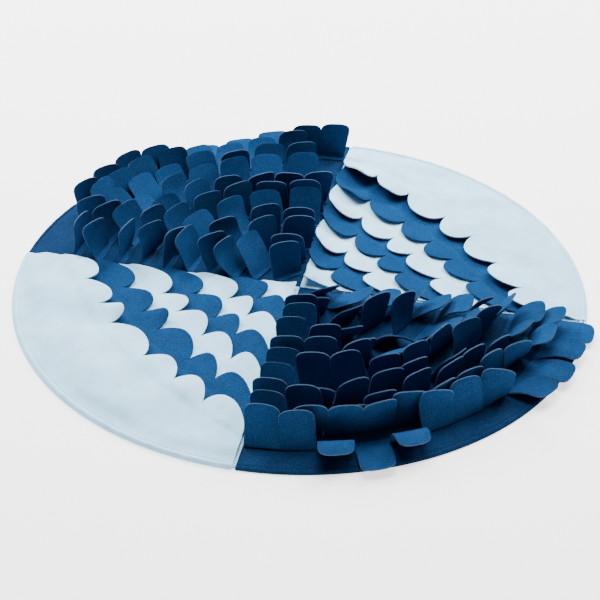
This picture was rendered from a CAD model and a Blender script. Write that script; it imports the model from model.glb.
"""Looks of a round felt snuffle mat: two scaled quarters, two quarters of standing flaps.

The mat is laid out as in its solids: the origin is the middle of the underside, +Z is up,
the seams run along X and Y, and angles are in degrees from +X toward +Y. Lengths are metres.
"""

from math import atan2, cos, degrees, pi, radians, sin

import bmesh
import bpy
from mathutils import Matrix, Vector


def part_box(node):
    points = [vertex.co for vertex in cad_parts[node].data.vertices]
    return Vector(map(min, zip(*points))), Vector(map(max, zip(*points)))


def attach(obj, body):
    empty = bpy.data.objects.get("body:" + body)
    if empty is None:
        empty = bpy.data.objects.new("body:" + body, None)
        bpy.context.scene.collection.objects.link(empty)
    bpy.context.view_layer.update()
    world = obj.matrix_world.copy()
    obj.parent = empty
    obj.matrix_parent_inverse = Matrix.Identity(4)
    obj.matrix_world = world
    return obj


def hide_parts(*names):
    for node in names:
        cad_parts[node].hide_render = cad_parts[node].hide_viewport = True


bl_info = {
    "name": "Felt Snuffle Mat",
    "version": (1, 0, 0),
    "blender": (4, 5, 0),
    "location": "View3D > Sidebar > Snuffle Mat",
    "description": "Round felt foraging mat with scalloped scales and standing flaps",
    "category": "Add Mesh",
}

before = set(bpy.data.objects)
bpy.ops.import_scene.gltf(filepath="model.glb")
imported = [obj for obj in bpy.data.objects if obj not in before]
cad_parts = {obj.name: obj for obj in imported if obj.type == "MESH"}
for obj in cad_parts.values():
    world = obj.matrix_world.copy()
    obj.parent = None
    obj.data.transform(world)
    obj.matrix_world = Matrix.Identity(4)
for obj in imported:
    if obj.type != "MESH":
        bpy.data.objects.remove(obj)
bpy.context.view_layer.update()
BODY = "root"
BACKING_LOW, BACKING_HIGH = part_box("backing")

# --- layout, as in the solids -------------------------------------------------------

AIR = 0.0003
HEM_WIDTH = 0.014
SIDE_MARGIN = 0.6
ROOT_TUCK = 0.005
RAMP_START = 0.0090
RAMP_END = 0.0015
TIP_RISE = 1.15
LOBE_POWER = 2.3
LOBE_SIDE = 0.62
FLANGE = 0.007
STRIP_LETTERS = "abcd"
UNEVEN_TWIST = 8.0
UNEVEN_SWAY = 1.0
UNEVEN_PHASE = 12.99
UNEVEN_PHASE_STEP = 65.24
FRONT_TURN = 18.0
FRONT_TURN_FROM = 25.0
TWIST_POWER = 0.7
LYING_POWER = 4
MM = 0.001

# How far a base under a panel stands back from the rim, the panel reaches past the rim, and
# the rows of scales lie apart. Then how sharply a lobe lifts along its length and across.
COVERED_INSET = 0.0022
PANEL_PAST_RIM = 0.0006
LAYER_AIR = 0.0005
LIFT_POWER = 1.4
CROWN_POWER = 1.5

FRONT_LEFT, FRONT_RIGHT, BACK_RIGHT, BACK_LEFT = 180, 270, 0, 90

SIDE_NAMES = {
    FRONT_LEFT: "front_left",
    FRONT_RIGHT: "front_right",
    BACK_RIGHT: "back_right",
    BACK_LEFT: "back_left",
}

SCALE_ROWS = (
    {"name": "panel", "tip": 0.247, "depth": 0.031, "straight": 0.62, "colour": "pale"},
    {"name": "row_1", "tip": 0.196, "depth": 0.030, "straight": 0.80, "colour": "blue"},
    {"name": "row_2", "tip": 0.155, "depth": 0.030, "straight": 0.85, "colour": "pale"},
    {"name": "row_3", "tip": 0.118, "depth": 0.029, "straight": 0.85, "colour": "blue"},
    {"name": "row_4", "tip": 0.081, "depth": 0.029, "straight": 0.80, "colour": "pale"},
    {"name": "row_5", "tip": 0.044, "depth": 0.029, "straight": 0.60, "colour": "blue"},
    {"name": "row_6", "tip": 0.006, "depth": 0.044, "straight": 0.00, "colour": "pale"},
)

# Height in mm by which each lobe's tip lifts off the row under it, one line for a row.
LIFTS = {
    FRONT_LEFT: (
        (3, 4, 12, 4, 6, 4, 5),
        (4, 6, 10, 5, 4, 6),
        (5, 3, 6, 4, 6),
        (3, 5, 4, 5),
        (4, 6, 3),
        (4, 3),
        (4,),
    ),
    BACK_RIGHT: (
        (1, 2, 1, 2, 3, 12, 16),
        (2, 1, 1, 2, 4, 14),
        (1, 2, 1, 2, 5),
        (2, 1, 1, 4),
        (1, 2, 3),
        (2, 4),
        (11,),
    ),
}

# Degrees by which each notch between two lobes lies off its even place, one line for a row.
NOTCH_SHIFTS = {
    FRONT_LEFT: (
        (0.0, -1.4, -5.3, 1.5, 2.3, 0.5),
        (-0.7, -0.4, -3.4, 2.2, 0.0),
        (1.5, -2.0, 1.0, 2.5),
        (-1.0, 2.0, -1.5),
        (2.5, -1.5),
        (-2.0,),
        (),
    ),
    BACK_RIGHT: (
        (-4.8, -4.0, -2.2, -1.5, 2.2, 1.7),
        (-1.4, -1.7, -3.0, -1.5, 1.8),
        (-2.0, 1.5, -1.0, 2.0),
        (1.0, -2.5, 1.5),
        (-2.0, 2.0),
        (2.5,),
        (),
    ),
}

# Flap rows from the rim inward: radius of the fold, angles of the first and last flap past
# the quarter's start, flaps in each strip of the row, and in degrees each flap's lean
# (0 upright, 90 lying outward) and its sway along the row.
FLAP_ROWS_OF = {
    FRONT_RIGHT: (
        {"radius": 0.358, "first": 3.9, "last": 85.2, "strips": (2, 3, 3, 4),
         "leans": (-28, -15, 66, 86, 68, -12, -13, 4, 76, 82, 76, 80),
         "sways": (-3, -5, -6, -8, -8, 1, -1, 0, 8, 8, 6, 4)},
        {"radius": 0.330, "first": 4.4, "last": 84.8, "strips": (4, 4, 3),
         "leans": (-26, 7, 11, 12, 6, 10, 7, 3, 14, 46, 50),
         "sways": (-3, 8, 4, 1, -4, -5, -7, -10, -14, 0, 0)},
        {"radius": 0.301, "first": 4.9, "last": 85.1, "strips": (4, 3, 3),
         "leans": (-22, -4, 34, 21, 2, 11, 8, 22, 40, 52),
         "sways": (-7, -11, 0, -12, 3, 3, -2, -10, 0, 0)},
        {"radius": 0.270, "first": 5.5, "last": 84.5, "strips": (5, 4),
         "leans": (-34, 28, 19, 15, 11, 30, -4, 12, 34),
         "sways": (-5, 2, -1, -2, -10, -2, 10, 10, 0)},
        {"radius": 0.237, "first": 6.2, "last": 83.8, "strips": (4, 4),
         "leans": (-34, -9, -6, 17, 14, 13, 32, 33),
         "sways": (-2, -8, -12, -12, -12, -12, 0, -10)},
        {"radius": 0.203, "first": 7.2, "last": 82.8, "strips": (3, 4),
         "leans": (-10, -10, 12, 46, 44, 54, 55),
         "sways": (-5, -3, -4, 0, -8, 0, 0)},
        {"radius": 0.170, "first": 8.6, "last": 81.4, "strips": (6,),
         "leans": (-28, -2, 40, -14, -2, 56),
         "sways": (-4, 0, -8, 9, 2, 0)},
        {"radius": 0.136, "first": 10.8, "last": 79.2, "strips": (2, 2),
         "leans": (-24, 38, 6, 50),
         "sways": (0, 0, 4, 0)},
        {"radius": 0.102, "first": 14.4, "last": 75.6, "strips": (3,),
         "leans": (-4, 36, 60),
         "sways": (-4, 0, 0)},
        {"radius": 0.066, "first": 22.6, "last": 67.4, "strips": (2,),
         "leans": (32, 56),
         "sways": (0, 0)},
        {"radius": 0.032, "first": 45.0, "last": 45.0, "strips": (1,),
         "leans": (44,),
         "sways": (0,)},
    ),
    BACK_LEFT: (
        {"radius": 0.358, "first": 4.2, "last": 70.8, "strips": (2, 4, 4),
         "leans": (8, 1, 74, 87, 90, 88, 11, 21, 17, 10),
         "sways": (-10, -14, -12, -12, -6, -4, 0, -4, -4, 4)},
        {"radius": 0.330, "first": 14.0, "last": 85.6, "strips": (4, 3, 3),
         "leans": (26, 68, 74, 66, 28, 33, 32, 29, 8, -4),
         "sways": (-6, -10, -10, -8, -3, 5, 0, -10, -6, 0)},
        {"radius": 0.296, "first": 12.5, "last": 85.7, "strips": (4, 5),
         "leans": (32, 52, -1, 30, 58, 54, 55, 13, 8),
         "sways": (-10, -14, 2, 0, -6, -6, 0, 4, 8)},
        {"radius": 0.262, "first": 11.0, "last": 85.0, "strips": (4, 4),
         "leans": (36, 50, 31, 48, 50, 68, 31, -6),
         "sways": (-4, 0, 0, -8, -12, 0, 0, 0)},
        {"radius": 0.228, "first": 6.9, "last": 84.1, "strips": (4, 4),
         "leans": (-8, -12, -10, 4, 22, 42, 18, -2),
         "sways": (-11, -10, -9, -4, -4, 1, 0, -10)},
        {"radius": 0.194, "first": 7.8, "last": 83.4, "strips": (6,),
         "leans": (-1, 2, 13, 20, 34, -10),
         "sways": (6, 4, 0, -8, -8, -3)},
        {"radius": 0.160, "first": 9.4, "last": 82.0, "strips": (5,),
         "leans": (33, 37, 43, 41, 18),
         "sways": (0, 2, -6, 0, 0)},
        {"radius": 0.126, "first": 12.0, "last": 79.8, "strips": (4,),
         "leans": (-8, 10, 30, 8),
         "sways": (0, -4, 6, 2)},
        {"radius": 0.095, "first": 16.0, "last": 76.4, "strips": (3,),
         "leans": (2, 12, 28),
         "sways": (-8, -6, 8)},
        {"radius": 0.065, "first": 22.8, "last": 67.2, "strips": (2,),
         "leans": (-12, 44),
         "sways": (10, -12)},
        {"radius": 0.031, "first": 45.0, "last": 45.0, "strips": (1,),
         "leans": (5,),
         "sways": (4,)},
    ),
}

# Flaps that turn about their own length, as (quarter, row, flap): angle at the tip.
TWISTS = {
    (FRONT_RIGHT, 0, 5): 28,
    (FRONT_RIGHT, 0, 6): 8,
    (FRONT_RIGHT, 0, 7): 52,
    (FRONT_RIGHT, 1, 4): 9,
    (FRONT_RIGHT, 1, 7): 14,
    (FRONT_RIGHT, 1, 8): 24,
    (FRONT_RIGHT, 2, 4): -10,
    (FRONT_RIGHT, 2, 7): 20,
    (FRONT_RIGHT, 3, 2): -8,
    (FRONT_RIGHT, 3, 6): 26,
    (FRONT_RIGHT, 3, 7): 36,
    (FRONT_RIGHT, 4, 4): 6,
    (FRONT_RIGHT, 4, 7): 34,
    (FRONT_RIGHT, 6, 3): 36,
    (FRONT_RIGHT, 6, 4): 26,
    (FRONT_RIGHT, 7, 2): 16,
    (BACK_LEFT, 0, 7): 10,
    (BACK_LEFT, 0, 8): 6,
    (BACK_LEFT, 0, 9): 11,
    (BACK_LEFT, 1, 4): 20,
    (BACK_LEFT, 1, 5): 5,
    (BACK_LEFT, 1, 7): 4,
    (BACK_LEFT, 1, 8): 24,
    (BACK_LEFT, 2, 7): 31,
    (BACK_LEFT, 3, 6): 15,
    (BACK_LEFT, 4, 5): 20,
    (BACK_LEFT, 4, 6): 14,
    (BACK_LEFT, 4, 7): 38,
    (BACK_LEFT, 5, 4): 18,
    (BACK_LEFT, 5, 5): 8,
    (BACK_LEFT, 6, 4): 10,
    (BACK_LEFT, 7, 2): 14,
    (BACK_LEFT, 7, 3): 18,
}

# Flaps that curl, as (quarter, row, flap): lean at the fold and lean at the tip.
CURLS = {
    (FRONT_RIGHT, 0, 0): (-34, -16),
    (FRONT_RIGHT, 0, 2): (18, 98),
    (FRONT_RIGHT, 0, 3): (74, 92),
    (FRONT_RIGHT, 0, 4): (22, 98),
    (FRONT_RIGHT, 0, 5): (-26, 2),
    (FRONT_RIGHT, 0, 8): (62, 92),
    (FRONT_RIGHT, 0, 9): (70, 96),
    (FRONT_RIGHT, 0, 10): (62, 100),
    (FRONT_RIGHT, 0, 11): (78, 96),
    (FRONT_RIGHT, 1, 8): (28, 2),
    (FRONT_RIGHT, 1, 9): (30, 66),
    (FRONT_RIGHT, 1, 10): (34, 72),
    (FRONT_RIGHT, 2, 8): (26, 56),
    (FRONT_RIGHT, 2, 9): (36, 74),
    (FRONT_RIGHT, 3, 6): (10, -20),
    (FRONT_RIGHT, 4, 4): (34, -8),
    (FRONT_RIGHT, 4, 5): (30, -6),
    (FRONT_RIGHT, 4, 6): (16, 50),
    (FRONT_RIGHT, 5, 3): (28, 66),
    (FRONT_RIGHT, 5, 4): (58, 30),
    (FRONT_RIGHT, 5, 6): (36, 76),
    (FRONT_RIGHT, 6, 2): (52, 24),
    (FRONT_RIGHT, 6, 3): (46, 80),
    (FRONT_RIGHT, 8, 2): (42, 80),
    (BACK_LEFT, 0, 2): (58, 92),
    (BACK_LEFT, 0, 6): (-4, 28),
    (BACK_LEFT, 1, 0): (40, 8),
    (BACK_LEFT, 1, 1): (80, 50),
    (BACK_LEFT, 1, 2): (86, 56),
    (BACK_LEFT, 2, 0): (48, 14),
    (BACK_LEFT, 2, 1): (66, 34),
    (BACK_LEFT, 2, 4): (70, 42),
    (BACK_LEFT, 3, 4): (60, 34),
    (BACK_LEFT, 4, 7): (-20, 18),
    (BACK_LEFT, 6, 2): (54, 26),
    (BACK_LEFT, 7, 2): (48, 10),
    (BACK_LEFT, 8, 2): (44, 8),
}

# --- fineness of the meshes -----------------------------------------------------------

LOBE_COLUMNS = 14
LOBE_CROWDING = 1.25
SCALE_STEPS = 18
PANEL_STEPS = 26
# Across a flap, from its left edge to its right edge.
FLAP_ACROSS = (-1.0, -0.96, -0.86, -0.68, -0.4, 0.0, 0.4, 0.68, 0.86, 0.96, 1.0)
FLANGE_LINES = 2
FOLD_LINES = 3
FLAP_LINES = 10
FLAP_CROWDING = 1.2
LINE_STEPS = 120
HEM_STEPS = 150
STITCH_SIDES = 6

# --- how the cloth lies ---------------------------------------------------------------

# Depth in mm inward from the rim, and height in mm over the lying cloth, of the hem's puffed
# edge, its stitched groove and the flat cloth.
RIM_PROFILE = (
    (0.0, -4.0), (0.3, -2.6), (0.9, -1.2), (1.8, -0.1), (3.0, 0.6), (4.2, 0.8), (5.4, 0.5),
    (6.4, -0.1), (7.1, -0.8), (7.6, -1.0), (8.1, -0.8), (9.0, -0.2), (10.5, 0.0),
)
GROOVE_DEPTH = 0.0076

# Unevenness of the rim between its stitches: depth, waves in a full turn and shift.
PUCKERS = (
    {"depth": 0.00022, "waves": 117, "shift": 0},
    {"depth": 0.00018, "waves": 71, "shift": 2},
)

# Height of the waves of the bare base cloth.
RIPPLE = 0.0016

# The light panels puff up between rim and lobes and lie in broad wrinkles. Each wrinkle has
# its share of the height, its waves in a full turn, its slant along the radius and its shift.
PANEL_PUFF = 0.0055
PUFF_FADE = 0.070
PUFF_ENDS = 16.0
PANEL_WAVE = 0.0080
WAVE_FADE = 0.022
PANEL_FLAT_FROM = 0.389
WRINKLES = (
    {"share": 0.50, "waves": 8.2, "slant": 0, "shift": 1},
    {"share": 0.35, "waves": 15, "slant": 30, "shift": 1},
    {"share": 0.30, "waves": 5, "slant": -62, "shift": 1},
    {"share": 0.24, "waves": 23, "slant": 38, "shift": 2},
)

# How far the last lobe of a row swells over the seam, and the panel's share of that.
SEAM_BULGE = 0.0075
PANEL_BULGE_SHARE = 0.4

# A flap: the slit beside it, its fold, where its curl begins and ends, its rounded corners,
# and how much each flap differs from its neighbours.
SLIT = 0.0008
FOLD_RADIUS = 0.0022
FOLD_TOP = 0.0035
CURL_FROM, CURL_TO = 0.15, 0.85
CORNER_POWER = 3.0
UNEVEN_BOW, MEAN_BOW = 9, 5
UNEVEN_CUP = 0.0018
UNEVEN_WIDTH = 0.015
UNEVEN_HEIGHT = 0.02
UNEVEN_SLANT = 0.0012
UNEVEN_TONE = 0.14

# Size of one thread across, and the spacing of the stitches on the flanges.
STITCH_WIDTH, STITCH_RISE = 0.0008, 0.0007
FLANGE_PITCH = 0.0055

# Noise of the felt: matted grain, finer tangle and its share, broad mottling.
GRAIN_SCALE, TANGLE_SCALE, PATCH_SCALE = 620.0, 1500.0, 34.0
TANGLE_SHARE = 0.35

# --- settings -------------------------------------------------------------------------


class MatSizes(bpy.types.PropertyGroup):
    """Sizes of the mat's cloth."""

    radius: bpy.props.FloatProperty(
        name="Radius", description="From the middle to the rim",
        default=0.400, min=0.1, unit="LENGTH", subtype="DISTANCE",
    )
    base_cloth: bpy.props.FloatProperty(
        name="Base Cloth", description="Thickness of the base and backing cloth",
        default=BACKING_HIGH.z - BACKING_LOW.z, min=0.0005, unit="LENGTH", subtype="DISTANCE",
    )
    felt: bpy.props.FloatProperty(
        name="Felt", description="Thickness of the scales and flaps",
        default=0.0020, min=0.0005, unit="LENGTH", subtype="DISTANCE",
    )
    flap_width: bpy.props.FloatProperty(
        name="Flap Width", description="Widest that a flap is cut",
        default=0.0465, min=0.01, unit="LENGTH", subtype="DISTANCE",
    )
    flap_height: bpy.props.FloatProperty(
        name="Flap Height", description="From the fold to the tip",
        default=0.056, min=0.01, unit="LENGTH", subtype="DISTANCE",
    )
    corner: bpy.props.FloatProperty(
        name="Flap Corner", description="Height of the rounded part of a flap",
        default=0.0150, min=0.001, unit="LENGTH", subtype="DISTANCE",
    )
    stitch: bpy.props.FloatProperty(
        name="Stitch", description="Length of one stitch of the topstitching",
        default=0.0036, min=0.001, unit="LENGTH", subtype="DISTANCE",
    )


class MatColours(bpy.types.PropertyGroup):
    """Colours of the felt and the thread."""

    pale: bpy.props.FloatVectorProperty(
        name="Pale Felt", description="Panels and light scales",
        default=(0.42, 0.74, 0.96), size=3, min=0, max=1, subtype="COLOR",
    )
    blue: bpy.props.FloatVectorProperty(
        name="Blue Felt", description="Blue scales and flaps",
        default=(0.0048, 0.041, 0.128), size=3, min=0, max=1, subtype="COLOR",
    )
    blue_base: bpy.props.FloatVectorProperty(
        name="Blue Base", description="Base cloth under the flaps",
        default=(0.0024, 0.024, 0.078), size=3, min=0, max=1, subtype="COLOR",
    )
    cut: bpy.props.FloatVectorProperty(
        name="Cut Edge", description="Pale fibres along a cut edge of blue felt",
        default=(0.032, 0.070, 0.135), size=3, min=0, max=1, subtype="COLOR",
    )


# --- felt and thread ------------------------------------------------------------------


def new_group(name, inputs, outputs):
    """An empty shader node group with its input and output nodes."""
    tree = bpy.data.node_groups.new(name, "ShaderNodeTree")
    for socket, kind, value in inputs:
        made = tree.interface.new_socket(name=socket, in_out="INPUT", socket_type=kind)
        made.default_value = value
    for socket, kind in outputs:
        tree.interface.new_socket(name=socket, in_out="OUTPUT", socket_type=kind)
    return tree, tree.nodes.new("NodeGroupInput"), tree.nodes.new("NodeGroupOutput")


def add_noise(tree, coords, scale, detail, distortion=0.0):
    noise = tree.nodes.new("ShaderNodeTexNoise")
    noise.inputs["Scale"].default_value = scale
    noise.inputs["Detail"].default_value = detail
    noise.inputs["Roughness"].default_value = 0.6
    noise.inputs["Distortion"].default_value = distortion
    tree.links.new(coords, noise.inputs["Vector"])
    return noise.outputs["Fac"]


def add_math(tree, operation, first, second):
    """A Math node; either operand is a socket or a number."""
    node = tree.nodes.new("ShaderNodeMath")
    node.operation = operation
    for socket, value in zip(node.inputs, (first, second)):
        if isinstance(value, (int, float)):
            socket.default_value = value
        else:
            tree.links.new(value, socket)
    return node.outputs[0]


def add_range(tree, value, low, high, new_low, new_high):
    node = tree.nodes.new("ShaderNodeMapRange")
    ends = {"From Min": low, "From Max": high, "To Min": new_low, "To Max": new_high}
    for socket, number in ends.items():
        node.inputs[socket].default_value = number
    tree.links.new(value, node.inputs["Value"])
    return node.outputs["Result"]


def add_mix(tree, factor, first, second):
    node = tree.nodes.new("ShaderNodeMix")
    node.data_type = "RGBA"
    sockets = [s for s in node.inputs if s.enabled]
    for socket, value in zip(sockets, (factor, first, second)):
        if isinstance(value, (int, float)):
            socket.default_value = value
        elif isinstance(value, tuple):
            socket.default_value = (*value, 1.0)
        else:
            tree.links.new(value, socket)
    return next(s for s in node.outputs if s.enabled)


def felt_group():
    """Matted fibres: mottled colour, uneven roughness and a fine tangle for the bump."""
    name = "Felt Fibres"
    if name in bpy.data.node_groups:
        return bpy.data.node_groups[name]
    tree, inner, outer = new_group(
        name,
        (
            ("Colour", "NodeSocketColor", (0.5, 0.5, 0.5, 1.0)),
            ("Fibres", "NodeSocketColor", (0.8, 0.8, 0.8, 1.0)),
            ("Contrast", "NodeSocketFloat", 0.3),
            ("Tone", "NodeSocketFloat", 0.0),
        ),
        (
            ("Colour", "NodeSocketColor"),
            ("Roughness", "NodeSocketFloat"),
            ("Height", "NodeSocketFloat"),
        ),
    )
    coords = tree.nodes.new("ShaderNodeTexCoord").outputs["Object"]
    contrast = inner.outputs["Contrast"]
    grain = add_noise(tree, coords, GRAIN_SCALE, 3.0)
    tangle = add_noise(tree, coords, TANGLE_SCALE, 2.0, 2.5)
    patches = add_noise(tree, coords, PATCH_SCALE, 2.0)
    coarse = add_math(tree, "MULTIPLY", grain, 1.0 - TANGLE_SHARE)
    fine = add_math(tree, "MULTIPLY", tangle, TANGLE_SHARE)
    speck = add_math(tree, "ADD", coarse, fine)
    spread = add_range(tree, speck, 0.36, 0.64, -1.0, 1.0)
    light = add_math(tree, "MULTIPLY", add_range(tree, spread, 0.0, 1.0, 0.0, 1.0), contrast)
    dark = add_math(tree, "MULTIPLY", add_range(tree, spread, 0.0, -1.0, 0.0, 1.0), contrast)
    colour = add_mix(tree, light, inner.outputs["Colour"], inner.outputs["Fibres"])
    colour = add_mix(tree, dark, colour, (0.0, 0.0, 0.0))
    broad = add_range(tree, patches, 0.3, 0.7, 0.90, 1.10)
    level = add_math(tree, "ADD", broad, inner.outputs["Tone"])
    scaled = tree.nodes.new("ShaderNodeHueSaturation")
    tree.links.new(level, scaled.inputs["Value"])
    tree.links.new(colour, scaled.inputs["Color"])
    tree.links.new(scaled.outputs["Color"], outer.inputs["Colour"])
    tree.links.new(add_range(tree, grain, 0.3, 0.7, 0.80, 0.96), outer.inputs["Roughness"])
    tree.links.new(speck, outer.inputs["Height"])
    return tree


def felt_material(name, colour, fibres, contrast, sheen, bump=0.35, toned=False):
    """Felt with its own colour. toned takes the shade of each flap from its mesh."""
    if name in bpy.data.materials:
        return bpy.data.materials[name]
    material = bpy.data.materials.new(name)
    material.use_nodes = True
    tree = material.node_tree
    shader = tree.nodes["Principled BSDF"]
    group = tree.nodes.new("ShaderNodeGroup")
    group.node_tree = felt_group()
    group.inputs["Colour"].default_value = (*colour, 1.0)
    group.inputs["Fibres"].default_value = (*fibres, 1.0)
    group.inputs["Contrast"].default_value = contrast
    if toned:
        tone = tree.nodes.new("ShaderNodeAttribute")
        tone.attribute_name = "tone"
        tree.links.new(tone.outputs["Fac"], group.inputs["Tone"])
    pile = tree.nodes.new("ShaderNodeBump")
    pile.inputs["Strength"].default_value = bump
    pile.inputs["Distance"].default_value = 0.0005
    tree.links.new(group.outputs["Height"], pile.inputs["Height"])
    tree.links.new(group.outputs["Colour"], shader.inputs["Base Color"])
    tree.links.new(group.outputs["Roughness"], shader.inputs["Roughness"])
    tree.links.new(pile.outputs["Normal"], shader.inputs["Normal"])
    shader.inputs["Specular IOR Level"].default_value = 0.03
    shader.inputs["Sheen Weight"].default_value = sheen
    shader.inputs["Sheen Roughness"].default_value = 0.55
    return material


def lighter(colour, share):
    return tuple(part + (1.0 - part) * share for part in colour)


def felt_pair(kind, context):
    """The felt of a kind of piece, and the felt of its cut edge."""
    colours = context.scene.snuffle_mat_colours
    pale, blue, base = tuple(colours.pale), tuple(colours.blue), tuple(colours.blue_base)
    if kind == "pale":
        face = felt_material("pale felt", pale, lighter(pale, 0.5), 0.10, 0.10)
        edge = felt_material("pale felt cut edge", lighter(pale, 0.35), (0.95, 0.97, 1.0), 0.15, 0.10)
    elif kind == "pale_base":
        face = felt_material("pale base felt", pale, lighter(pale, 0.5), 0.10, 0.10)
        edge = face
    elif kind == "blue_base":
        face = felt_material("blue base felt", base, lighter(base, 0.045), 0.40, 0.0)
        edge = face
    elif kind == "flaps":
        face = felt_material("blue flap felt", blue, lighter(blue, 0.045), 0.40, 0.0, toned=True)
        cut = tuple(colours.cut)
        edge = felt_material("blue felt cut edge", cut, lighter(cut, 0.1), 0.3, 0.05)
    else:
        face = felt_material("blue felt", blue, lighter(blue, 0.045), 0.40, 0.0)
        edge = face
    return face, edge


def thread_material(name, colour):
    if name in bpy.data.materials:
        return bpy.data.materials[name]
    material = bpy.data.materials.new(name)
    material.use_nodes = True
    tree = material.node_tree
    shader = tree.nodes["Principled BSDF"]
    coords = tree.nodes.new("ShaderNodeTexCoord").outputs["Object"]
    plies = add_noise(tree, coords, 2200.0, 1.0)
    shade = add_mix(tree, plies, tuple(part * 0.7 for part in colour), lighter(colour, 0.02))
    tree.links.new(shade, shader.inputs["Base Color"])
    tree.links.new(add_range(tree, plies, 0.3, 0.7, 0.7, 0.9), shader.inputs["Roughness"])
    shader.inputs["Specular IOR Level"].default_value = 0.1
    return material


# --- making cloth ---------------------------------------------------------------------


def new_piece(name, work, materials):
    """Make the object of a bmesh, shaded smooth."""
    mesh = bpy.data.meshes.new(name)
    work.to_mesh(mesh)
    work.free()
    for material in materials:
        mesh.materials.append(material)
    mesh.shade_smooth()
    piece = bpy.data.objects.new(name, mesh)
    bpy.context.scene.collection.objects.link(piece)
    return piece


def dress(piece, node, flat, area):
    """Let a sheet stand for its solid and say what it was cut to."""
    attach(piece, BODY)
    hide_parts(node)
    min(area, flat[0] * flat[1])


def add_thickness(piece, thickness, edge=0.0004):
    """Give an open sheet its thickness, a softened cut edge and even shading."""
    solid = piece.modifiers.new("thickness", "SOLIDIFY")
    solid.thickness = thickness
    solid.offset = 0.0
    solid.use_even_offset = True
    solid.use_quality_normals = True
    solid.material_offset_rim = 1
    soft = piece.modifiers.new("soft edge", "BEVEL")
    soft.width = edge
    soft.segments = 1
    soft.limit_method = "ANGLE"
    soft.angle_limit = radians(50)
    even = piece.modifiers.new("even shading", "WEIGHTED_NORMAL")
    even.keep_sharp = True


def grid_sheet(name, columns, lines, place, materials, keep=None, tone=None):
    """A grid bent with place(column, line); keep says which faces stay, tone shades points."""
    work = bmesh.new()
    bmesh.ops.create_grid(work, x_segments=columns, y_segments=lines, size=0.5)
    shade = work.verts.layers.float.new("tone") if tone else None
    spots = {v: (round((v.co.x + 0.5) * columns), round((v.co.y + 0.5) * lines)) for v in work.verts}
    if keep:
        corners = {f: min(spots[v] for v in f.verts) for f in work.faces}
        cut = [f for f in work.faces if not keep(*corners[f])]
        bmesh.ops.delete(work, geom=cut, context="FACES")
    for vert in work.verts:
        vert.co = place(*spots[vert])
        if tone:
            vert[shade] = tone(*spots[vert])
    return new_piece(name, work, materials)


def polar(radius, angle, height):
    return (radius * cos(radians(angle)), radius * sin(radians(angle)), height)


def smooth(value, low, high):
    """0 below low, 1 above high, smooth between them."""
    part = min(max((value - low) / (high - low), 0.0), 1.0)
    return part * part * (3 - 2 * part)


def uneven(*numbers):
    """A repeatable value between -1 and 1 that differs from piece to piece."""
    phases = [UNEVEN_PHASE + UNEVEN_PHASE_STEP * place for place in range(len(numbers))]
    return sin(sum(phase * (number + 1) for phase, number in zip(phases, numbers)))


# --- backing and base -----------------------------------------------------------------


def hem_section(radius, sizes, lying):
    """Closed section of a base quarter: flat cloth, puffed rim, turned under at the bottom."""
    cloth = sizes.base_cloth
    outline = [(0.001, lying)]
    outline += [(0.001 + (radius - 0.013) * step / 30, lying) for step in range(1, 31)]
    for depth, height in reversed(RIM_PROFILE[1:]):
        outline.append((radius - MM * depth, max(lying + MM * height, 0.0)))
    outline += [(radius, 0.0008), (radius - 0.0006, 0.0001), (radius - 0.002, 0.0)]
    turned_edge = radius - HEM_WIDTH
    outline += [(turned_edge, 0.0), (turned_edge, cloth)]
    outline += [(radius - 0.004, cloth), (radius - 0.004, cloth + AIR), (0.001, cloth + AIR)]
    return outline


def ripple(start, radius, angle):
    """Soft waves of the bare blue base cloth, none at the middle, the rim and the seams."""
    if start in (FRONT_LEFT, BACK_RIGHT):
        return 0.0
    turn = angle - start
    fade = smooth(radius, 0.30, 0.36) * smooth(0.388 - radius, 0.0, 0.012)
    fade *= smooth(turn, 1.0, 6.0) * smooth(89.0 - turn, 0.0, 5.0)
    wave = 0.5 + 0.5 * sin(radians(turn * 13 + radius * 2600))
    return RIPPLE * fade * wave


def pucker(radius, angle, rim):
    """Small unevenness of the puffed rim between the stitches."""
    depth = rim - radius
    fade = smooth(depth, 0.0, 0.002) * smooth(0.0095 - depth, 0.0, 0.002)
    return fade * sum(
        wave["depth"] * sin(radians(angle) * wave["waves"] + wave["shift"]) for wave in PUCKERS
    )


class SNUFFLE_OT_backing(bpy.types.Operator):
    """Add the round cloth under the mat"""

    bl_idname = "snuffle.backing"
    bl_label = "Backing"
    bl_options = {"REGISTER", "UNDO"}

    def execute(self, context):
        radius = BACKING_HIGH.x
        depth = BACKING_HIGH.z - BACKING_LOW.z
        work = bmesh.new()
        bmesh.ops.create_cone(
            work, cap_ends=True, segments=144, radius1=radius, radius2=radius, depth=depth,
        )
        rim = [e for e in work.edges if e.calc_face_angle(0) > radians(45)]
        bmesh.ops.bevel(
            work, geom=rim, offset=0.0003, segments=1, profile=0.5, affect="EDGES", material=-1,
        )
        bmesh.ops.translate(work, verts=work.verts, vec=(0, 0, depth / 2))
        piece = new_piece("felt_backing", work, [felt_pair("blue_base", context)[0]])
        piece.data.set_sharp_from_angle(angle=radians(35))
        dress(piece, "backing", (2 * radius, 2 * radius), pi * radius ** 2)
        return {"FINISHED"}


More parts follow.
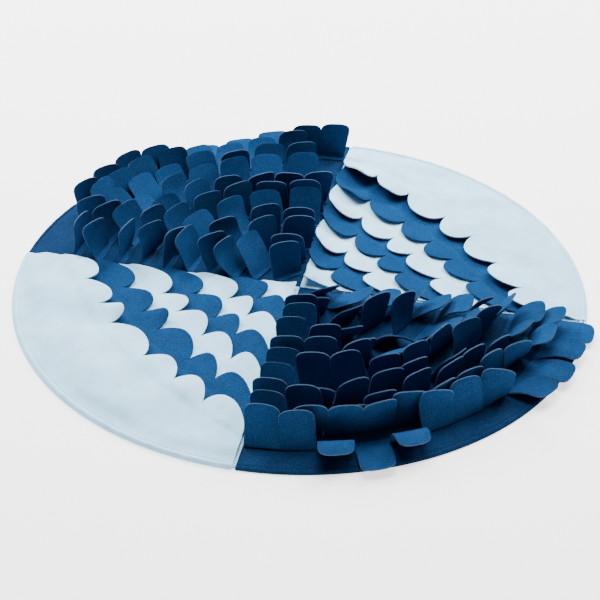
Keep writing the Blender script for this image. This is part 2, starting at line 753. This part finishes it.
class SNUFFLE_OT_base(bpy.types.Operator):
    """Add the four quarters of base cloth with their turned hems"""

    bl_idname = "snuffle.base"
    bl_label = "Base Quarters"
    bl_options = {"REGISTER", "UNDO"}

    def execute(self, context):
        for start in SIDE_NAMES:
            self.add_quarter(context, start)
        return {"FINISHED"}

    def add_quarter(self, context, start):
        sizes = context.scene.snuffle_mat_sizes
        covered = start in (FRONT_LEFT, BACK_RIGHT)
        rim = sizes.radius - (COVERED_INSET if covered else 0.0)
        lying = 2 * sizes.base_cloth + AIR
        work = bmesh.new()
        ring = [work.verts.new((r, 0.0, z)) for r, z in hem_section(rim, sizes, lying)]
        work.faces.new(ring)
        bmesh.ops.spin(
            work, geom=work.faces[:] + work.edges[:] + work.verts[:], cent=(0, 0, 0),
            axis=(0, 0, 1), angle=pi / 2, steps=HEM_STEPS, use_duplicate=False,
        )
        bmesh.ops.recalc_face_normals(work, faces=work.faces[:])
        for vert in work.verts:
            radius = vert.co.xy.length
            angle = start + degrees(atan2(vert.co.y, vert.co.x))
            upper = smooth(vert.co.z, sizes.base_cloth, lying - 0.0008)
            height = vert.co.z + upper * (ripple(start, radius, angle) + pucker(radius, angle, rim))
            vert.co = (*polar(radius, angle, height)[:2], height)
        shift = Matrix.Rotation(radians(start), 3, "Z") @ Vector((AIR / 2, AIR / 2, 0))
        bmesh.ops.translate(work, verts=work.verts, vec=shift)
        kind = "pale_base" if covered else "blue_base"
        node = "base_" + SIDE_NAMES[start]
        piece = new_piece("felt_" + node, work, felt_pair(kind, context)[:1])
        soft = piece.modifiers.new("soft edge", "BEVEL")
        soft.width = 0.0005
        soft.segments = 2
        soft.limit_method = "ANGLE"
        soft.angle_limit = radians(60)
        even = piece.modifiers.new("even shading", "WEIGHTED_NORMAL")
        even.keep_sharp = True
        cut = rim + HEM_WIDTH
        dress(piece, node, (cut, cut), pi * cut ** 2 / 4)


# --- scales ---------------------------------------------------------------------------


def tip_radius(number, offset):
    """Radius of a row's lobe tips at an angle off the middle of the quarter."""
    row = SCALE_ROWS[number]
    return row["tip"] / cos(radians(offset)) ** row["straight"]


def root_radius(number, offset, rim):
    """Sewn edge of a row: the rim, or just behind the lobes of the row outside it."""
    if number == 0:
        return rim
    outer = number - 1
    return tip_radius(outer, offset) + SCALE_ROWS[outer]["depth"] + ROOT_TUCK


def panel_wave(start, radius, angle):
    """Puff and broad soft wrinkles of a lying panel, with none at its rim, little at its lobes."""
    turn = angle - start
    seed = 0 if start == FRONT_LEFT else 2.1
    inward = PANEL_FLAT_FROM - radius
    fade = smooth(inward, 0.0, WAVE_FADE) * smooth(radius, 0.240, 0.30)
    puff = smooth(inward, 0.0, PUFF_FADE) * smooth(radius, 0.235, 0.30)
    ends = smooth(turn, 0.0, PUFF_ENDS) * smooth(90.0 - turn, 0.0, PUFF_ENDS)
    wave = sum(
        wrinkle["share"]
        * sin(radians(turn * wrinkle["waves"]) + radius * wrinkle["slant"] + wrinkle["shift"] * seed)
        for wrinkle in WRINKLES
    )
    return PANEL_PUFF * puff * ends + PANEL_WAVE * fade * (0.5 + 0.45 * wave)


def lobe_bounds(start, number):
    """Angles off the middle of the quarter at which the lobes of a row begin and end."""
    shifts = (0.0, *NOTCH_SHIFTS[start][number], 0.0)
    span = 90 - 2 * SIDE_MARGIN
    return [span * (place / (len(shifts) - 1) - 0.5) + shift for place, shift in enumerate(shifts)]


def seam_bulge(start, number, offset, radius):
    """Degrees by which the last lobe of a row swells over the seam beside it."""
    if start != BACK_RIGHT or number == len(SCALE_ROWS) - 1:
        return 0.0
    low = tip_radius(number, offset) + SCALE_ROWS[number]["depth"] * 0.6
    high = low + 0.07
    if number:
        high = tip_radius(number - 1, offset) + SCALE_ROWS[number - 1]["depth"]
    middle = (low + high) / 2
    part = smooth(radius, low - 0.02, middle) - smooth(radius, middle, high + 0.004)
    return degrees(SEAM_BULGE * (part if number else PANEL_BULGE_SHARE * part) / radius)


def scale_place(start, number, sizes):
    """Where the grid of one scale row lies, and how it is spaced toward the tips."""
    row = SCALE_ROWS[number]
    lifts = LIFTS[start][number]
    count = len(lifts)
    panel = number == 0
    last = number == len(SCALE_ROWS) - 1
    bounds = lobe_bounds(start, number)
    level = 2 * sizes.base_cloth + AIR + AIR + sizes.felt / 2
    layer = sizes.felt + LAYER_AIR
    rim_lines = len(RIM_PROFILE)
    steps = PANEL_STEPS if panel else SCALE_STEPS

    def lobe_shape(column):
        lobe = min(column // LOBE_COLUMNS, count - 1)
        across = (1 - cos(pi * (column - lobe * LOBE_COLUMNS) / LOBE_COLUMNS)) / 2
        offset = bounds[lobe] + (bounds[lobe + 1] - bounds[lobe]) * across
        curve = (1 - abs(2 * across - 1) ** LOBE_POWER) ** LOBE_SIDE
        return lobe, offset, curve, (1 - (2 * across - 1) ** 2) ** CROWN_POWER

    def place(column, line):
        lobe, offset, curve, crown = lobe_shape(column)
        tip = tip_radius(number, offset)
        edge = tip + row["depth"] * (1 - curve)
        root = root_radius(number, offset, sizes.radius)
        over = root_radius(number + 1, offset, sizes.radius) if not last else tip + row["depth"]
        angle = start + 45 + offset
        if panel and line < rim_lines:
            depth, height = RIM_PROFILE[line]
            radius = root + PANEL_PAST_RIM - MM * depth
            drop = MM * height + pucker(radius, angle, root)
            return polar(radius, angle, max(level + drop, sizes.felt / 2 + 0.0001))
        if panel:
            root -= MM * RIM_PROFILE[-1][0]
            line -= rim_lines - 1
        part = line / steps
        part = 1 - (1 - part) ** LOBE_CROWDING
        radius = root + (edge - root) * part
        if lobe == count - 1:
            share = (offset - bounds[-2]) / (bounds[-1] - bounds[-2])
            angle += seam_bulge(start, number, offset, radius) * share ** 3
        ramp = smooth(over + RAMP_START - radius, 0.0, RAMP_START - RAMP_END)
        reach = max(over + RAMP_END - radius, 0.0) / (over + RAMP_END - tip)
        along = max(over + RAMP_END - radius, 0.0) / max(over + RAMP_END - edge, 0.001)
        height = level + layer * (ramp + TIP_RISE * reach)
        height += MM * lifts[lobe] * crown * min(along, 1.0) ** LIFT_POWER
        if panel:
            height += panel_wave(start, radius, angle)
        return polar(radius, angle, height)

    lines = steps + (rim_lines - 1 if panel else 0)
    return place, lines


def row_area(number, sizes):
    """Flat area of a scale row and the lengths of its sewn edge and depth."""
    row = SCALE_ROWS[number]
    span = radians(90 - 2 * SIDE_MARGIN)
    root = root_radius(number, 0, sizes.radius)
    edge = row["tip"] + row["depth"] * 0.2
    area = span * (root ** 2 - edge ** 2) / 2
    return area, root * span * 1.08, root - row["tip"]


class SNUFFLE_OT_scales(bpy.types.Operator):
    """Add the two panels and the rows of round-ended scales"""

    bl_idname = "snuffle.scales"
    bl_label = "Scales"
    bl_options = {"REGISTER", "UNDO"}

    def execute(self, context):
        sizes = context.scene.snuffle_mat_sizes
        for start in (FRONT_LEFT, BACK_RIGHT):
            for number, row in enumerate(SCALE_ROWS):
                node = "scales_" + SIDE_NAMES[start] + "_" + row["name"]
                place, lines = scale_place(start, number, sizes)
                columns = LOBE_COLUMNS * len(LIFTS[start][number])
                piece = grid_sheet(
                    "felt_" + node, columns, lines, place, felt_pair(row["colour"], context),
                )
                add_thickness(piece, sizes.felt)
                area, width, length = row_area(number, sizes)
                dress(piece, node, (width, length), area)
        return {"FINISHED"}


# --- standing flaps -------------------------------------------------------------------


def flap_angles(row, start):
    """Middle angle of each flap, spread evenly from the first to the last."""
    gaps = max(len(row["leans"]) - 1, 1)
    step = (row["last"] - row["first"]) / gaps
    return [start + row["first"] + step * number for number in range(len(row["leans"]))]


def flap_forms(start, number, sizes):
    """The form of each flap of a row: how it leans, turns, sways and curls."""
    row = FLAP_ROWS_OF[start][number]
    angles = flap_angles(row, start)
    pitch = radians(angles[1] - angles[0]) * row["radius"] if len(angles) > 1 else sizes.flap_width
    width = min(sizes.flap_width, pitch - SLIT)
    forms = []
    for flap, (angle, lean, sway) in enumerate(zip(angles, row["leans"], row["sways"])):
        twist = TWISTS.get((start, number, flap), 0) + UNEVEN_TWIST * uneven(number, flap)
        sway += UNEVEN_SWAY * uneven(flap, number, 2)
        if start == BACK_LEFT:
            twist += FRONT_TURN * max(angle - start - FRONT_TURN_FROM, 0) / (90 - FRONT_TURN_FROM)
        upright = 1 - (abs(lean) / 90) ** LYING_POWER
        bow = (UNEVEN_BOW * uneven(flap, number, start, 3) + MEAN_BOW) * upright / 2
        foot, tip = CURLS.get((start, number, flap), (lean - bow, lean + bow))
        forms.append({
            "radius": row["radius"],
            "angle": angle,
            "foot": radians(foot),
            "tip": radians(tip),
            "twist": radians(twist * upright),
            "sway": radians(sway),
            "cup": UNEVEN_CUP * uneven(number, start, flap, 5) * upright,
            "width": width * (1 + UNEVEN_WIDTH * uneven(flap, start, number)),
            "height": sizes.flap_height * (1 + UNEVEN_HEIGHT * uneven(start, flap, number, 7)),
            "slant": UNEVEN_SLANT * uneven(number, flap, start, 9),
            "tone": UNEVEN_TONE * uneven(start, number, flap, 11),
        })
    return forms


def flap_line(form):
    """Middle line of a flap from the flange's inner edge: length, reach, height and lean."""
    turn = pi / 2 - form["foot"]
    bend = max(FOLD_RADIUS * turn, AIR)
    points = []
    total = FLANGE + form["height"]
    reach, height = form["radius"] - FLANGE, 0.0
    for step in range(LINE_STEPS + 1):
        along = -FLANGE + total * step / LINE_STEPS
        lean = pi / 2 - turn * smooth(along, -bend / 2, bend / 2)
        curled = smooth(along, CURL_FROM * form["height"], CURL_TO * form["height"])
        lean += (form["tip"] - form["foot"]) * curled
        points.append((along, reach, height, lean))
        reach += sin(lean) * total / LINE_STEPS
        height += cos(lean) * total / LINE_STEPS
    return points


def line_at(points, along):
    """Point of a flap's middle line at a length past the fold."""
    first, last = points[0][0], points[-1][0]
    place = (along - first) / (last - first) * (len(points) - 1)
    low = min(max(int(place), 0), len(points) - 2)
    part = place - low
    return [a + (b - a) * part for a, b in zip(points[low][1:], points[low + 1][1:])]


def flap_place(forms, sizes):
    """Where the grid of a strip lies: flange lines, fold lines, then up each flap."""
    level = 2 * sizes.base_cloth + 2 * AIR + sizes.felt / 2
    lines = [flap_line(form) for form in forms]
    count = len(FLAP_ACROSS)

    def place(column, line):
        flap = column // count
        form = forms[flap]
        across = FLAP_ACROSS[column % count]
        rounding = (1 - abs(across) ** CORNER_POWER) ** (1 / CORNER_POWER)
        length = form["height"] - sizes.corner * (1 - rounding) + form["slant"] * across
        if line <= FLANGE_LINES:
            along = -FLANGE + (FLANGE - FOLD_TOP) * line / FLANGE_LINES
        elif line <= FLANGE_LINES + FOLD_LINES:
            along = -FOLD_TOP + 2 * FOLD_TOP * (line - FLANGE_LINES) / FOLD_LINES
        else:
            part = (line - FLANGE_LINES - FOLD_LINES) / FLAP_LINES
            along = FOLD_TOP + (length - FOLD_TOP) * (1 - (1 - part) ** FLAP_CROWDING)
        reach, height, lean = line_at(lines[flap], along)
        part = max(along, 0.0) / form["height"]
        turn = form["twist"] * part ** TWIST_POWER
        side = across * form["width"] / 2
        if along < 0:
            side *= reach / form["radius"]
        normal = side * sin(turn) + form["cup"] * (across ** 2 - 0.33) * part
        sideways = side * cos(turn) + max(along, 0.0) * sin(form["sway"])
        reach += normal * cos(lean)
        height += level - normal * sin(lean)
        out = Vector((cos(radians(form["angle"])), sin(radians(form["angle"])), 0))
        spot = out * reach + Vector((-out.y, out.x, 0)) * sideways
        return (spot.x, spot.y, height)

    return place


def add_strip(context, start, name, forms):
    """One strip of felt: a sewn flange with flaps cut apart and standing on it."""
    sizes = context.scene.snuffle_mat_sizes
    count = len(FLAP_ACROSS)
    lines = FLANGE_LINES + FOLD_LINES + FLAP_LINES
    place = flap_place(forms, sizes)

    def keep(column, line):
        return line < FLANGE_LINES or column % count != count - 1

    def tone(column, line):
        return forms[column // count]["tone"]

    piece = grid_sheet(
        "felt_" + name, count * len(forms) - 1, lines, place, felt_pair("flaps", context), keep, tone,
    )
    add_thickness(piece, sizes.felt)
    width = len(forms) * forms[0]["width"]
    length = sizes.flap_height + FLANGE
    area = len(forms) * (forms[0]["width"] * (length - 0.12 * sizes.corner))
    dress(piece, name, (width, length), area)


class SNUFFLE_OT_flaps(bpy.types.Operator):
    """Add the arcs of standing flaps"""

    bl_idname = "snuffle.flaps"
    bl_label = "Standing Flaps"
    bl_options = {"REGISTER", "UNDO"}

    def execute(self, context):
        sizes = context.scene.snuffle_mat_sizes
        for start, rows in FLAP_ROWS_OF.items():
            for number, row in enumerate(rows):
                forms = flap_forms(start, number, sizes)
                first = 0
                for letter, count in zip(STRIP_LETTERS, row["strips"]):
                    name = "flaps_%s_%d" % (SIDE_NAMES[start], number + 1)
                    if len(row["strips"]) > 1:
                        name += letter
                    add_strip(context, start, name, forms[first:first + count])
                    first += count
        return {"FINISHED"}


# --- stitching ------------------------------------------------------------------------


def add_stitches(name, spots, length, material):
    """Short raised threads, each at a spot given as (place, direction)."""
    work = bmesh.new()
    for spot, ahead in spots:
        made = bmesh.ops.create_uvsphere(
            work, u_segments=STITCH_SIDES, v_segments=4, radius=0.5,
        )
        shape = Matrix.Translation(spot) @ Matrix.Rotation(ahead, 4, "Z")
        shape @= Matrix.Diagonal((length, STITCH_WIDTH, STITCH_RISE, 1.0))
        bmesh.ops.transform(work, matrix=shape, verts=made["verts"])
    piece = new_piece(name, work, [material])
    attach(piece, BODY)
    return piece


def arc_stitches(radius, first, last, height, pitch):
    """Spots of a seam along an arc between two angles."""
    count = int(radians(last - first) * radius / pitch)
    angles = [first + (last - first) * (number + 0.5) / count for number in range(count)]
    return [(Vector(polar(radius, angle, height)), radians(angle + 90)) for angle in angles]


class SNUFFLE_OT_stitching(bpy.types.Operator):
    """Add the topstitching of the rim and of each strip's flange"""

    bl_idname = "snuffle.stitching"
    bl_label = "Stitching"
    bl_options = {"REGISTER", "UNDO"}

    def execute(self, context):
        sizes = context.scene.snuffle_mat_sizes
        colours = context.scene.snuffle_mat_colours
        lying = 2 * sizes.base_cloth + AIR
        pale = thread_material("pale thread", lighter(colours.pale, 0.1))
        blue = thread_material("blue thread", tuple(colours.blue))
        groove = sizes.radius - GROOVE_DEPTH
        for start in SIDE_NAMES:
            covered = start in (FRONT_LEFT, BACK_RIGHT)
            margin = SIDE_MARGIN if covered else 0.4
            height = lying - 0.0010 + (AIR + sizes.felt if covered else 0.0)
            spots = arc_stitches(
                groove, start + margin, start + 90 - margin, height + 0.0001, sizes.stitch * 1.25,
            )
            name = "rim_stitches_" + SIDE_NAMES[start]
            piece = add_stitches(name, spots, sizes.stitch, pale if covered else blue)
        for start, rows in FLAP_ROWS_OF.items():
            spots = []
            for row in rows:
                half = degrees(sizes.flap_width / 2 / row["radius"])
                first, last = row["first"] - half, row["last"] + half
                spots += arc_stitches(
                    row["radius"] - 0.75 * FLANGE, start + max(first, 1.0), start + min(last, 89.0),
                    lying + AIR + sizes.felt + 0.0001, FLANGE_PITCH,
                )
            name = "flange_stitches_" + SIDE_NAMES[start]
            piece = add_stitches(name, spots, sizes.stitch, blue)
        return {"FINISHED"}


# --- stage ----------------------------------------------------------------------------

# The camera stands as the photograph's did: its elevation, its turn about the mat, its roll,
# its distance, its focal length in pixels and the pixel of the mat's middle, in 600 x 600.
PHOTO_SIZE = 600
CAMERA_ELEVATION = 34.854
CAMERA_TURN = 10.947
CAMERA_ROLL = -0.997
CAMERA_DISTANCE = 2.5281
CAMERA_FOCAL = 1796.43
MIDDLE_PIXEL = (299.85, 288.94)
SENSOR = 36.0

# Softboxes as seen by the camera: right, back and up in metres, width and length, power.
SOFTBOXES = (
    {"name": "back left box", "place": (-1.5, 2.0, 1.8), "size": (1.2, 1.2), "power": 165},
    {"name": "back right box", "place": (1.6, 1.8, 1.8), "size": (1.2, 1.2), "power": 134},
    {"name": "top box", "place": (0.0, 0.6, 2.6), "size": (1.6, 1.6), "power": 112},
)


def studio(place):
    """A place given to the camera's right, to the back and up, in the mat's axes."""
    return Matrix.Rotation(radians(CAMERA_TURN), 3, "Z") @ Vector(place)


class SNUFFLE_OT_stage(bpy.types.Operator):
    """Add the camera, the softboxes and the floor"""

    bl_idname = "snuffle.stage"
    bl_label = "Studio Stage"
    bl_options = {"REGISTER", "UNDO"}

    def execute(self, context):
        self.add_camera(context)
        for box in SOFTBOXES:
            self.add_softbox(context, box)
        self.add_floor(context)
        self.add_world(context)
        return {"FINISHED"}

    def add_camera(self, context):
        rise, roll = radians(CAMERA_ELEVATION), radians(CAMERA_ROLL)
        back = Vector((0, -cos(rise), sin(rise)))
        up = Vector((0, sin(rise), cos(rise)))
        right = Vector((1, 0, 0))
        x_axis = studio(right * cos(roll) - up * sin(roll))
        y_axis = studio(right * sin(roll) + up * cos(roll))
        z_axis = studio(back)
        lens = bpy.data.cameras.new("photo camera")
        lens.sensor_width = SENSOR
        lens.lens = CAMERA_FOCAL * SENSOR / PHOTO_SIZE
        lens.shift_x = -(MIDDLE_PIXEL[0] - PHOTO_SIZE / 2) / PHOTO_SIZE
        lens.shift_y = (MIDDLE_PIXEL[1] - PHOTO_SIZE / 2) / PHOTO_SIZE
        lens.clip_start = 0.05
        camera = bpy.data.objects.new("photo camera", lens)
        turn = Matrix((x_axis, y_axis, z_axis)).transposed().to_4x4()
        camera.matrix_world = Matrix.Translation(z_axis * CAMERA_DISTANCE) @ turn
        context.scene.collection.objects.link(camera)
        context.scene.camera = camera

    def add_softbox(self, context, box):
        lamp = bpy.data.lights.new(box["name"], "AREA")
        lamp.shape = "RECTANGLE"
        lamp.size, lamp.size_y = box["size"]
        lamp.energy = box["power"]
        thing = bpy.data.objects.new(box["name"], lamp)
        place = studio(box["place"])
        aim = place.to_track_quat("Z", "Y").to_matrix().to_4x4()
        thing.matrix_world = Matrix.Translation(place) @ aim
        context.scene.collection.objects.link(thing)

    def add_floor(self, context):
        work = bmesh.new()
        bmesh.ops.create_grid(work, x_segments=1, y_segments=1, size=9.0)
        bmesh.ops.translate(work, verts=work.verts, vec=(0, 0, -0.0004))
        paper = bpy.data.materials.new("pale floor")
        paper.use_nodes = True
        shader = paper.node_tree.nodes["Principled BSDF"]
        shader.inputs["Base Color"].default_value = (0.95, 0.95, 0.95, 1.0)
        shader.inputs["Emission Color"].default_value = (1.0, 1.0, 1.0, 1.0)
        shader.inputs["Emission Strength"].default_value = 1.5
        shader.inputs["Roughness"].default_value = 0.9
        new_piece("floor", work, [paper])

    def add_world(self, context):
        world = bpy.data.worlds.new("studio")
        world.use_nodes = True
        sky = world.node_tree.nodes["Background"]
        sky.inputs["Color"].default_value = (1.0, 1.0, 1.0, 1.0)
        sky.inputs["Strength"].default_value = 0.20
        context.scene.world = world


# --- add-on ---------------------------------------------------------------------------


class SNUFFLE_PT_panel(bpy.types.Panel):
    """Lists the mat's pieces in the sidebar"""

    bl_idname = "SNUFFLE_PT_panel"
    bl_label = "Snuffle Mat"
    bl_space_type = "VIEW_3D"
    bl_region_type = "UI"
    bl_category = "Snuffle Mat"

    def draw(self, context):
        layout = self.layout
        for group in (context.scene.snuffle_mat_sizes, context.scene.snuffle_mat_colours):
            box = layout.box()
            for setting in group.__annotations__:
                box.prop(group, setting)
        for operator in OPERATORS:
            layout.operator(operator.bl_idname)


OPERATORS = (
    SNUFFLE_OT_stage,
    SNUFFLE_OT_backing,
    SNUFFLE_OT_base,
    SNUFFLE_OT_scales,
    SNUFFLE_OT_flaps,
    SNUFFLE_OT_stitching,
)
CLASSES = (MatSizes, MatColours, *OPERATORS, SNUFFLE_PT_panel)


def register():
    for item in CLASSES:
        bpy.utils.register_class(item)
    bpy.types.Scene.snuffle_mat_sizes = bpy.props.PointerProperty(type=MatSizes)
    bpy.types.Scene.snuffle_mat_colours = bpy.props.PointerProperty(type=MatColours)


def unregister():
    del bpy.types.Scene.snuffle_mat_colours
    del bpy.types.Scene.snuffle_mat_sizes
    for item in reversed(CLASSES):
        bpy.utils.unregister_class(item)


def main():
    register()
    bpy.ops.snuffle.stage()
    bpy.ops.snuffle.backing()
    bpy.ops.snuffle.base()
    bpy.ops.snuffle.scales()
    bpy.ops.snuffle.flaps()
    bpy.ops.snuffle.stitching()


if __name__ == "__main__":
    main()
